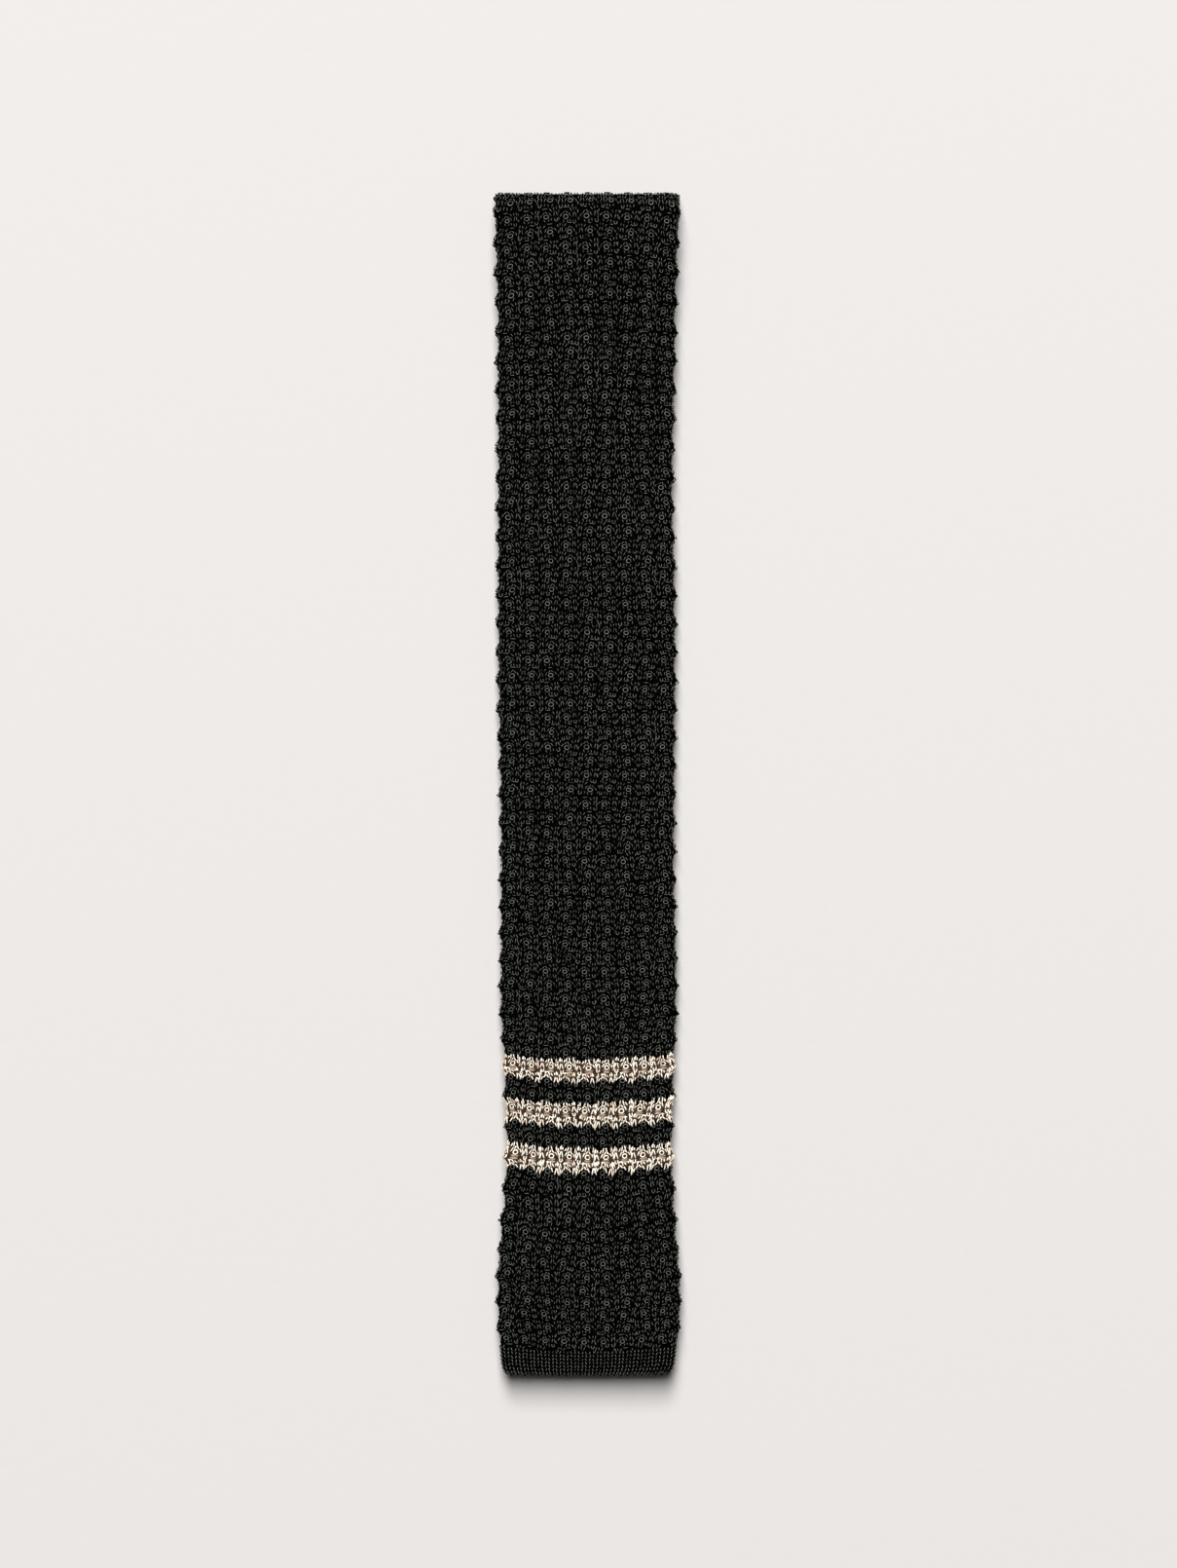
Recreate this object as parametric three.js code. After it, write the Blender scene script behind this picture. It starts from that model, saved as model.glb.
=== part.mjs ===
// A knitted necktie, folded in half, then in half again, and laid flat with its wide end on top.
// Millimetres. +Z is up from the surface it lies on, +X across the tie, +Y along it towards the top fold.
//
// The tie is one knitted tube pressed flat, so each solid is a flat tube: two walls with a thin slit left
// between them. The slit is open at every seam and closed where an end is sewn shut.
// Seen from above, the four layers are: the wide blade, the narrow blade, the neck side of the narrow
// blade, and on the surface the back of the wide blade, which narrows to the neck.

import * as THREE from 'three';

// Lengths of the folded tie
const foldedLength = 367.5;
const neckFoldSetback = 7;
const narrowEndSetback = 11;
const innerFoldSetback = 9;

// Widths and thickness of the cloth
const wideBladeWidth = 55.7;
const narrowBladeWidth = 43;
const neckWidth = 33;
const clothThickness = 2.6;
const tubeSlit = 0.3;
const sideRound = 1.3;
const layerGap = 0.35;
const seamGap = 0.3;

// Heights of the pieces above the hem, measured up the middle of the wide blade
const hemHeight = 7;
const tipHeight = 56.1;
const lowerStripeHeight = 6.8;
const lowerBandHeight = 7.5;
const middleStripeHeight = 6.7;
const upperBandHeight = 7.1;
const upperStripeHeight = 5.9;

// Shape of the folds and of the drape
const foldBulge = 2.4;
const foldBulgeRun = 42;
const edgeDroop = 3.4;
const courseBow = 2;
const wideTaperStart = 95;
const wideTaperLength = 180;
const narrowTaperStart = 150;
const narrowTaperLength = 150;

// The side edges are scalloped once for every repeat of the stitch pattern
const repeatAtHem = 8.3;
const repeatAtFold = 9.2;
const scallopDepth = 1.3;
const rightEdgeLag = 1 / 3;

// Spacing of the sections: three to a scallop where the edge shows, and wider where it is covered
const sectionsPerRepeat = 3;
const hiddenSectionStep = 13;
const sectionsPerFold = 8;

// Heights of the middle of each layer above the surface
const layerPitch = clothThickness + layerGap;
const floorLayer = clothThickness / 2;
const neckLayer = floorLayer + layerPitch;
const narrowLayer = neckLayer + layerPitch;
const wideLayer = narrowLayer + layerPitch;

// The wide blade as it lies, from the hem at 0 to the top fold at 1. Along is a share of the folded
// length, width and shift are shares of the wide blade's width, bow is a share of the course bow and
// droop of the edge droop.
const wideFace = [
    { along: 0.000, width: 0.905, shift: -0.004, bow: 0.10, droop: 0.45 },
    { along: 0.006, width: 0.950, shift: 0.002, bow: 0.50, droop: 0.45 },
    { along: 0.024, width: 0.990, shift: 0.004, bow: 0.80, droop: 0.50 },
    { along: 0.045, width: 1.018, shift: 0.006, bow: 0.95, droop: 0.50 },
    { along: 0.076, width: 1.015, shift: 0.006, bow: 1.00, droop: 0.55 },
    { along: 0.109, width: 0.980, shift: 0.004, bow: 1.05, droop: 0.65 },
    { along: 0.142, width: 0.943, shift: 0.006, bow: 1.05, droop: 0.75 },
    { along: 0.183, width: 0.919, shift: 0.009, bow: 1.05, droop: 0.85 },
    { along: 0.240, width: 0.942, shift: 0.008, bow: 0.95, droop: 0.95 },
    { along: 0.306, width: 0.980, shift: 0.005, bow: 0.70, droop: 1.00 },
    { along: 0.438, width: 0.968, shift: -0.002, bow: 0.20, droop: 1.00 },
    { along: 0.602, width: 0.990, shift: -0.006, bow: 0.00, droop: 1.00 },
    { along: 0.734, width: 0.976, shift: -0.014, bow: -0.20, droop: 0.85 },
    { along: 0.866, width: 0.994, shift: -0.007, bow: -0.60, droop: 0.35 },
    { along: 0.932, width: 1.013, shift: -0.006, bow: -0.95, droop: 0.10 },
    { along: 1.000, width: 1.025, shift: -0.002, bow: -0.80, droop: 0.00 },
];

// The covered side of the wide blade, from the top fold at 0 to the neck fold at 1, before its taper
const wideBack = [
    { along: 0.000, width: 1.025, shift: -0.002, bow: -0.80 },
    { along: 0.060, width: 0.955, shift: -0.008, bow: -0.40 },
    { along: 0.200, width: 0.940, shift: -0.008, bow: 0.00 },
    { along: 1.000, width: 0.940, shift: 0.000, bow: 0.00 },
];

// The end of a blade, where its two walls are sewn together and roll under. Inset is a share of the
// cloth's thickness, thick is a share of the thickness and narrow is a share of the side's rounding.
const endRoll = [
    { inset: 0.00, thick: 0.45, narrow: 1.00 },
    { inset: 0.20, thick: 0.80, narrow: 0.45 },
    { inset: 0.65, thick: 1.00, narrow: 0.00 },
];

function eased(share) {
    const t = THREE.MathUtils.clamp(share, 0, 1);
    return t * t * (3 - 2 * t);
}

// Looks a column up in a table, eased between the two rows that the place lies between
function lookUp(table, key, place, column) {
    const last = table[table.length - 1];
    if (place >= last[key]) return last[column];
    const next = table.findIndex((row) => row[key] > place);
    if (next <= 0) return table[0][column];
    const before = table[next - 1];
    const after = table[next];
    const share = (place - before[key]) / (after[key] - before[key]);
    return THREE.MathUtils.lerp(before[column], after[column], eased(share));
}

// The middle of the cloth as it runs from the hem to the narrow end, seen from the side.
// Each leg is a function of 0 to 1 that gives a point (y, z); the legs join end to end.
const hemEdge = -foldedLength / 2;
const topRadius = (wideLayer + foldBulge - floorLayer) / 2;
const topCentre = foldedLength / 2 - topRadius - clothThickness / 2;
const smallRadius = layerPitch / 2;
const neckCentre = hemEdge + neckFoldSetback + smallRadius + clothThickness / 2;
const innerCentre = topCentre - innerFoldSetback;
const narrowEnd = hemEdge + narrowEndSetback;

function straightLeg(fromY, toY, heightAt) {
    return (share) => {
        const y = THREE.MathUtils.lerp(fromY, toY, share);
        return new THREE.Vector2(y, heightAt(y));
    };
}

function turnLeg(centreY, centreZ, radius, fromAngle, toAngle) {
    return (share) => {
        const angle = THREE.MathUtils.lerp(fromAngle, toAngle, share);
        return new THREE.Vector2(centreY + radius * Math.cos(angle), centreZ + radius * Math.sin(angle));
    };
}

function wideHeight(y) {
    return wideLayer + foldBulge * eased((y - topCentre + foldBulgeRun) / foldBulgeRun);
}

const quarter = Math.PI / 2;
const legs = {
    wideFace: straightLeg(hemEdge, topCentre, wideHeight),
    topFold: turnLeg(topCentre, floorLayer + topRadius, topRadius, quarter, -quarter),
    wideBack: straightLeg(topCentre, neckCentre, () => floorLayer),
    neckFold: turnLeg(neckCentre, floorLayer + smallRadius, smallRadius, -quarter, -3 * quarter),
    neckSide: straightLeg(neckCentre, innerCentre, () => neckLayer),
    innerFold: turnLeg(innerCentre, neckLayer + smallRadius, smallRadius, -quarter, quarter),
    narrowSide: straightLeg(innerCentre, narrowEnd, () => narrowLayer),
};

// The legs as one line of short steps, with the distance from the hem kept at every point
const stepsPerLeg = 400;
const line = [];
const legStart = {};
for (const [name, leg] of Object.entries(legs)) {
    legStart[name] = line.length > 0 ? line[line.length - 1].distance : 0;
    for (let step = line.length > 0 ? 1 : 0; step <= stepsPerLeg; step += 1) {
        const point = leg(step / stepsPerLeg);
        const previous = line[line.length - 1];
        const distance = previous ? previous.distance + point.distanceTo(previous.point) : 0;
        line.push({ point, distance });
    }
}
const tieLength = line[line.length - 1].distance;

// A point on the middle of the cloth, and the direction that the front of the cloth faces there
function placeAt(distance) {
    const wanted = THREE.MathUtils.clamp(distance, 0, tieLength);
    let low = 0;
    let high = line.length - 1;
    while (high - low > 1) {
        const middle = Math.floor((low + high) / 2);
        if (line[middle].distance <= wanted) low = middle;
        else high = middle;
    }
    const before = line[low];
    const after = line[high];
    const along = after.point.clone().sub(before.point).normalize();
    const point = before.point.clone().addScaledVector(along, distance - before.distance);
    return { point, front: new THREE.Vector2(-along.y, along.x) };
}

// Stitch repeats counted from the hem. They crowd evenly less from the hem to the top fold.
function repeatsAt(distance) {
    const spread = (1 / repeatAtFold - 1 / repeatAtHem) / (2 * foldedLength);
    return distance / repeatAtHem + spread * distance * distance;
}

function distanceOfRepeat(repeats) {
    let distance = repeats * repeatAtHem;
    for (let pass = 0; pass < 8; pass += 1) {
        distance += (repeats - repeatsAt(distance)) * repeatAtHem;
    }
    return distance;
}

// How far the scallop pushes a side edge out; it fades out round the top fold
function scallop(distance, lag) {
    const turned = (distance - legStart.topFold) / (legStart.wideBack - legStart.topFold);
    const depth = (scallopDepth / 2) * (1 - eased(turned));
    return depth * Math.cos(2 * Math.PI * (repeatsAt(distance) - lag));
}

// The outline and the drape of the tie at a distance from the hem
function clothAt(distance) {
    if (distance <= legStart.wideBack) {
        const along = distance / legStart.wideBack;
        const read = (column) => lookUp(wideFace, 'along', along, column);
        return {
            halfWidth: (wideBladeWidth / 2) * read('width'),
            shift: wideBladeWidth * read('shift'),
            bow: courseBow * read('bow'),
            droop: edgeDroop * read('droop'),
        };
    }
    if (distance <= legStart.neckFold) {
        const fromFold = distance - legStart.wideBack;
        const along = fromFold / (legStart.neckFold - legStart.wideBack);
        const read = (column) => lookUp(wideBack, 'along', along, column);
        const taper = eased((fromFold - wideTaperStart) / wideTaperLength);
        return {
            halfWidth: THREE.MathUtils.lerp(wideBladeWidth * read('width'), neckWidth, taper) / 2,
            shift: wideBladeWidth * read('shift'),
            bow: courseBow * read('bow'),
            droop: 0,
        };
    }
    const taper = eased((distance - legStart.neckSide - narrowTaperStart) / narrowTaperLength);
    return {
        halfWidth: THREE.MathUtils.lerp(neckWidth, narrowBladeWidth, taper) / 2,
        shift: 0,
        bow: 0,
        droop: 0,
    };
}

// A point of the cloth: across runs from -1 at the left edge to 1 at the right, lift is the height
// above the middle of the cloth on its front side, and draw pulls both side edges in
function clothPoint(distance, across, lift, draw) {
    const cloth = clothAt(distance);
    const lag = across > 0 ? rightEdgeLag : 0;
    const reach = cloth.halfWidth - draw + Math.abs(across) * scallop(distance, lag);
    const x = cloth.shift + across * reach;
    const place = placeAt(distance + cloth.bow * across * across);
    const hangStart = narrowBladeWidth / 2 - sideRound / 2;
    const hangEnd = wideBladeWidth / 2;
    const hang = THREE.MathUtils.clamp((Math.abs(x) - hangStart) / (hangEnd - hangStart), 0, 1);
    const y = place.point.x + place.front.x * lift;
    const z = place.point.y + place.front.y * lift - cloth.droop * hang ** 1.5;
    return new THREE.Vector3(x, y, z);
}

// The ring of a section, as pairs of across and lift, anticlockwise when the front faces up.
// Its two sides are rounded, and it has a joint where the sides begin to hang.
function outerRing(halfWidth, thick) {
    const half = (clothThickness / 2) * thick;
    const shoulder = 1 - sideRound / halfWidth;
    const hinge = Math.min((narrowBladeWidth / 2 - sideRound) / halfWidth, shoulder * 0.9);
    const topRow = [[1, 0.4 * half], [shoulder, half], [hinge, half], [0, half]];
    const leftTop = topRow.slice(0, 3).reverse().map(([across, lift]) => [-across, lift]);
    const top = [...topRow, ...leftTop];
    return [...top, ...top.map(([across, lift]) => [-across, -lift])];
}

function slitRing(halfWidth) {
    const half = tubeSlit / 2;
    const end = 1 - (clothThickness - tubeSlit) / halfWidth;
    const hinge = Math.min((narrowBladeWidth / 2 - sideRound) / halfWidth, end * 0.9);
    return [[end, 0], [hinge, half], [-hinge, half], [-end, 0], [-hinge, -half], [hinge, -half]];
}

// The corner of the slit that each corner of the outer ring is joined to where the slit is open
const slitCornerOf = [0, 0, 1, 1, 2, 3, 3, 3, 3, 4, 4, 5, 0, 0];

// Where the sections of the whole tie lie, as distances from the hem
const shownSections = [];
for (let section = 1; distanceOfRepeat(section / sectionsPerRepeat) < legStart.topFold; section += 1) {
    shownSections.push(distanceOfRepeat(section / sectionsPerRepeat));
}

function evenSections(from, to, count) {
    return Array.from({ length: count + 1 }, (_, step) => THREE.MathUtils.lerp(from, to, step / count));
}

function hiddenSections(from, to) {
    return evenSections(from, to, Math.round((to - from) / hiddenSectionStep)).slice(1, -1);
}

const sectionPlaces = [
    ...shownSections,
    ...evenSections(legStart.topFold, legStart.wideBack, sectionsPerFold),
    ...hiddenSections(legStart.wideBack, legStart.neckFold),
    ...evenSections(legStart.neckFold, legStart.neckSide, sectionsPerFold),
    ...hiddenSections(legStart.neckSide, legStart.innerFold),
    ...evenSections(legStart.innerFold, legStart.narrowSide, sectionsPerFold),
    ...hiddenSections(legStart.narrowSide, tieLength),
];

// A piece of the tube between two distances from the hem. An end that is sewn shut rolls under and the
// slit stops short of it; at any other end the slit is open.
function tubePiece(from, to, shutStart, shutEnd) {
    const shut = shutStart || shutEnd;
    const fromShutEnd = (distance) => (shutStart ? distance - from : to - distance);
    const rollAt = (distance, column) => {
        return lookUp(endRoll, 'inset', fromShutEnd(distance) / clothThickness, column);
    };
    const rolled = shut ? endRoll.map((row) => row.inset * clothThickness) : [0];
    const rollPlaces = rolled.slice(1).map((inset) => (shutStart ? from + inset : to - inset));
    const apart = seamGap + sideRound;
    const inside = sectionPlaces.filter((place) => {
        const clearOfRoll = !shut || fromShutEnd(place) > rolled[rolled.length - 1] + apart / 2;
        return place > from + apart / 2 && place < to - apart / 2 && clearOfRoll;
    });
    const outerPlaces = [from, ...rollPlaces, ...inside, to].sort((one, other) => one - other);
    const slitPlaces = [...(shutStart ? [] : [from]), ...inside, ...(shutEnd ? [] : [to])];

    const points = [];
    const triangles = [];
    const addRing = (distance, ring, draw) => {
        const first = points.length;
        for (const [across, lift] of ring) points.push(clothPoint(distance, across, lift, draw));
        return { first, ring };
    };
    const addWalls = (rings, outward) => {
        for (let index = 1; index < rings.length; index += 1) {
            const count = rings[index].ring.length;
            for (let corner = 0; corner < count; corner += 1) {
                const next = (corner + 1) % count;
                const a = rings[index - 1].first + corner;
                const b = rings[index - 1].first + next;
                const c = rings[index].first + next;
                const d = rings[index].first + corner;
                if (outward) triangles.push([a, c, b], [a, d, c]);
                else triangles.push([a, b, c], [a, c, d]);
            }
        }
    };
    const addFace = (corners, facesBack) => {
        for (let index = 2; index < corners.length; index += 1) {
            const face = [corners[0], corners[index - 1], corners[index]];
            const isFlat = new Set(face).size < face.length;
            if (!isFlat) triangles.push(facesBack ? face : face.reverse());
        }
    };
    const addShutEnd = ({ first, ring }, facesBack) => {
        const isBelow = (corner, other) => other[0] === ring[corner][0] && other[1] === -ring[corner][1];
        const below = (corner) => ring.findIndex((other) => isBelow(corner, other));
        const upper = [...ring.keys()].filter((corner) => ring[corner][1] >= 0);
        for (let index = 1; index < upper.length; index += 1) {
            const [right, left] = [upper[index - 1], upper[index]];
            const corners = [right, left, below(left), below(right)];
            addFace(corners.map((corner) => first + corner), facesBack);
        }
    };
    const addOpenEnd = (outline, hole, facesBack) => {
        for (let corner = 0; corner < slitCornerOf.length; corner += 1) {
            const next = (corner + 1) % slitCornerOf.length;
            const inner = hole.first + slitCornerOf[corner];
            const nextInner = hole.first + slitCornerOf[next];
            addFace([outline.first + corner, outline.first + next, nextInner, inner], facesBack);
        }
    };

    const outer = outerPlaces.map((place) => {
        const draw = shut ? sideRound * rollAt(place, 'narrow') : 0;
        const thick = shut ? rollAt(place, 'thick') : 1;
        return addRing(place, outerRing(clothAt(place).halfWidth, thick), draw);
    });
    const slit = slitPlaces.map((place) => addRing(place, slitRing(clothAt(place).halfWidth), 0));
    addWalls(outer, true);
    addWalls(slit, false);
    const lastOuter = outer[outer.length - 1];
    const lastSlit = slit[slit.length - 1];
    if (shutStart) {
        addShutEnd(outer[0], true);
        addShutEnd(slit[0], false);
    } else {
        addOpenEnd(outer[0], slit[0], true);
    }
    if (shutEnd) {
        addShutEnd(lastOuter, false);
        addShutEnd(lastSlit, true);
    } else {
        addOpenEnd(lastOuter, lastSlit, false);
    }

    const geometry = new THREE.BufferGeometry().setFromPoints(points);
    geometry.setIndex(triangles.flat());
    geometry.computeVertexNormals();
    return geometry;
}

const darkSilk = new THREE.MeshStandardMaterial({ color: 0x191a17, roughness: 0.62, metalness: 0 });
const lightSilk = new THREE.MeshStandardMaterial({ color: 0xb8a690, roughness: 0.6, metalness: 0 });

// The pieces in order from the hem. Each starts where the one before it ends.
const seamOfNeck = legStart.wideBack + wideTaperStart + wideTaperLength;
const seamOfNarrow = legStart.neckSide + narrowTaperStart;
const pieces = [
    { name: 'wide_end_hem', end: hemHeight, silk: darkSilk },
    { name: 'wide_blade_tip', height: tipHeight, silk: darkSilk },
    { name: 'stripe_lower', height: lowerStripeHeight, silk: lightSilk },
    { name: 'blade_band_lower', height: lowerBandHeight, silk: darkSilk },
    { name: 'stripe_middle', height: middleStripeHeight, silk: lightSilk },
    { name: 'blade_band_upper', height: upperBandHeight, silk: darkSilk },
    { name: 'stripe_upper', height: upperStripeHeight, silk: lightSilk },
    { name: 'wide_blade', end: seamOfNeck, silk: darkSilk },
    { name: 'neck_band', end: seamOfNarrow, silk: darkSilk },
    { name: 'narrow_blade', end: tieLength - hemHeight, silk: darkSilk },
    { name: 'narrow_end_hem', end: tieLength, silk: darkSilk },
];

const tie = new THREE.Group();
let start = 0;
pieces.forEach((piece, index) => {
    const end = piece.end ?? start + piece.height;
    const isFirst = index === 0;
    const isLast = index === pieces.length - 1;
    const from = isFirst ? start : start + seamGap / 2;
    const to = isLast ? end : end - seamGap / 2;
    const mesh = new THREE.Mesh(tubePiece(from, to, isFirst, isLast), piece.silk);
    mesh.name = piece.name;
    tie.add(mesh);
    start = end;
});

// The origin is the middle of the tie's box, on the surface that it lies on
const middle = new THREE.Box3().setFromObject(tie).getCenter(new THREE.Vector3());
tie.position.set(-middle.x, -middle.y, 0);
tie.updateMatrixWorld(true);

export default tie;
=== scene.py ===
# %% [markdown]
# A knit tie lies on a pale table, folded in half twice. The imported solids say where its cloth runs.
# They could be painted with a bump map, but then the stitches would have no depth at the edges.
# So this lesson knits the yarn itself: small loops, arrayed flat and then laid over the cloth.

# %% Load the frame
import math

import bpy
import numpy as np
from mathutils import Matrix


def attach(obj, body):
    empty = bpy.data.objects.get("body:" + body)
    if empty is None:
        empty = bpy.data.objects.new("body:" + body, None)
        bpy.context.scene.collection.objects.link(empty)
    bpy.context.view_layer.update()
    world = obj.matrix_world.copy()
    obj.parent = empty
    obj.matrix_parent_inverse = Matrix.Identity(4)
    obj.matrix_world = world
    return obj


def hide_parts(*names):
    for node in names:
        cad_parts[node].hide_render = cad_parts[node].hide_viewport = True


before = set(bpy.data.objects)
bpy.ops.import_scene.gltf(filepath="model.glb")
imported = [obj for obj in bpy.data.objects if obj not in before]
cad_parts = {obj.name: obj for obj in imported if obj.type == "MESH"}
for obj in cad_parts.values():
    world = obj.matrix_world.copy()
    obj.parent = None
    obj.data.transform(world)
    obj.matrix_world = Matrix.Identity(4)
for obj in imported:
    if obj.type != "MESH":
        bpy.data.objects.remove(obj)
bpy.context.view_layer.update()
MM = 0.001
print("nodes:", sorted(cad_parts))

# %% [markdown]
# The camera comes first. The photo was taken from straight above with a long lens, so a camera
# high over the tie gives the same view. Its lens is worked out from the height of the picture.

# %% Camera
PICTURE_WIDTH = 1209
PICTURE_HEIGHT = 1610
MM_PER_PIXEL = 0.3025
TIE_MIDDLE_PIXEL = (603.7, 804.5)
CAMERA_HEIGHT = 3.0
SHARP_PLANE = 0.010
SENSOR_HEIGHT = 36.0

camera_data = bpy.data.cameras.new("camera")
camera_data.sensor_fit = "VERTICAL"
camera_data.sensor_height = SENSOR_HEIGHT
picture_metres = PICTURE_HEIGHT * MM_PER_PIXEL * MM
camera_data.lens = SENSOR_HEIGHT * (CAMERA_HEIGHT - SHARP_PLANE) / picture_metres
camera = bpy.data.objects.new("camera", camera_data)
bpy.context.scene.collection.objects.link(camera)
camera.location = (
    (PICTURE_WIDTH / 2 - TIE_MIDDLE_PIXEL[0]) * MM_PER_PIXEL * MM,
    (TIE_MIDDLE_PIXEL[1] - PICTURE_HEIGHT / 2) * MM_PER_PIXEL * MM,
    CAMERA_HEIGHT,
)
bpy.context.scene.camera = camera
bpy.context.scene.view_settings.view_transform = "Standard"
print("lens", round(camera_data.lens, 1), "mm")

# %% [markdown]
# The cloth is one long flat tube. It runs from the wide hem up the face, round the top fold, down
# the back, round the neck fold, up again, round an inner fold and down to the narrow end. The same
# line and tables as in the solids give its place, so the yarn lies where they are.

# %% The line of the cloth, seen from the side
FOLDED_LENGTH = 367.5
CLOTH_THICKNESS = 2.6
LAYER_PITCH = CLOTH_THICKNESS + 0.35
FLOOR_LAYER = CLOTH_THICKNESS / 2
NECK_LAYER = FLOOR_LAYER + LAYER_PITCH
NARROW_LAYER = NECK_LAYER + LAYER_PITCH
WIDE_LAYER = NARROW_LAYER + LAYER_PITCH
FOLD_BULGE = 2.4
FOLD_BULGE_RUN = 42.0
HEM_EDGE = -FOLDED_LENGTH / 2
TOP_RADIUS = (WIDE_LAYER + FOLD_BULGE - FLOOR_LAYER) / 2
TOP_CENTRE = FOLDED_LENGTH / 2 - TOP_RADIUS - CLOTH_THICKNESS / 2
SMALL_RADIUS = LAYER_PITCH / 2
NECK_CENTRE = HEM_EDGE + 7.0 + SMALL_RADIUS + CLOTH_THICKNESS / 2
INNER_CENTRE = TOP_CENTRE - 9.0
NARROW_END = HEM_EDGE + 11.0
STEPS_PER_LEG = 500


def eased(share):
    share = np.clip(share, 0.0, 1.0)
    return share * share * (3.0 - 2.0 * share)


def straight(start, end, height):
    y = np.linspace(start, end, STEPS_PER_LEG)
    return np.column_stack([y, height(y)])


def turn(centre_y, centre_z, radius, start, end):
    angle = np.linspace(start, end, STEPS_PER_LEG)
    return np.column_stack([centre_y + radius * np.cos(angle), centre_z + radius * np.sin(angle)])


def level(height):
    return lambda y: np.full_like(y, height)


def wide_height(y):
    return WIDE_LAYER + FOLD_BULGE * eased((y - TOP_CENTRE + FOLD_BULGE_RUN) / FOLD_BULGE_RUN)


QUARTER = math.pi / 2
LEGS = {
    "wide_face": straight(HEM_EDGE, TOP_CENTRE, wide_height),
    "top_fold": turn(TOP_CENTRE, FLOOR_LAYER + TOP_RADIUS, TOP_RADIUS, QUARTER, -QUARTER),
    "wide_back": straight(TOP_CENTRE, NECK_CENTRE, level(FLOOR_LAYER)),
    "neck_fold": turn(NECK_CENTRE, FLOOR_LAYER + SMALL_RADIUS, SMALL_RADIUS, -QUARTER, -3 * QUARTER),
    "neck_side": straight(NECK_CENTRE, INNER_CENTRE, level(NECK_LAYER)),
    "inner_fold": turn(INNER_CENTRE, NECK_LAYER + SMALL_RADIUS, SMALL_RADIUS, -QUARTER, QUARTER),
    "narrow_side": straight(INNER_CENTRE, NARROW_END, level(NARROW_LAYER)),
}
pieces_of_line = [leg if number == 0 else leg[1:] for number, leg in enumerate(LEGS.values())]
LINE = np.concatenate(pieces_of_line)
steps = np.linalg.norm(np.diff(LINE, axis=0), axis=1)
LINE_DISTANCE = np.concatenate([[0.0], np.cumsum(steps)])
LINE_HEADING = np.gradient(LINE, LINE_DISTANCE, axis=0)
LEG_START = {
    name: LINE_DISTANCE[number * (STEPS_PER_LEG - 1)] for number, name in enumerate(LEGS)
}
TIE_LENGTH = LINE_DISTANCE[-1]
print("the tie is", round(TIE_LENGTH), "mm long; its legs start at", LEG_START)

# %% [markdown]
# The tie is never quite straight. A short table gives its width, its drift to the side, the bow of
# its courses and how far its side edges droop, as shares of a few sizes. It is read with an eased
# step between rows, which leaves no corner in the outline.

# %% The outline and drape of the cloth
WIDE_WIDTH = 55.7
NARROW_WIDTH = 43.0
NECK_WIDTH = 33.0
EDGE_DROOP = 3.4
COURSE_BOW = 2.0
# along, width, shift, bow, droop
WIDE_FACE = np.array([
    [0.000, 0.900, -0.004, 0.10, 0.45],
    [0.003, 0.945, 0.000, 0.30, 0.45],
    [0.008, 0.966, 0.002, 0.50, 0.45],
    [0.016, 0.978, 0.003, 0.70, 0.45],
    [0.024, 0.990, 0.004, 0.80, 0.50],
    [0.045, 1.018, 0.006, 0.95, 0.50],
    [0.076, 1.015, 0.006, 1.00, 0.55],
    [0.109, 0.980, 0.004, 1.05, 0.65],
    [0.142, 0.943, 0.006, 1.05, 0.75],
    [0.183, 0.919, 0.009, 1.05, 0.85],
    [0.240, 0.942, 0.008, 0.95, 0.95],
    [0.306, 0.980, 0.005, 0.70, 1.00],
    [0.438, 0.968, -0.002, 0.20, 1.00],
    [0.602, 0.990, -0.006, 0.00, 1.00],
    [0.734, 0.976, -0.014, -0.20, 0.85],
    [0.866, 0.994, -0.007, -0.60, 0.35],
    [0.932, 1.013, -0.006, -0.95, 0.10],
    [1.000, 1.025, -0.002, -0.80, 0.00],
])
# along, width, shift, bow
WIDE_BACK = np.array([
    [0.00, 1.025, -0.002, -0.80],
    [0.06, 0.955, -0.008, -0.40],
    [0.20, 0.940, -0.008, 0.00],
    [1.00, 0.940, 0.000, 0.00],
])
BOX_SHIFT = 0.06
# start and length of each taper, from the leg that it lies on
WIDE_TAPER = (95.0, 180.0)
NARROW_TAPER = (150.0, 150.0)


def look_up(table, column, place):
    row = np.clip(np.searchsorted(table[:, 0], place, side="right") - 1, 0, len(table) - 2)
    low = table[row, 0]
    share = eased((place - low) / (table[row + 1, 0] - low))
    return table[row, column] * (1 - share) + table[row + 1, column] * share


def blend(low, high, share):
    return low + (high - low) * share


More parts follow.
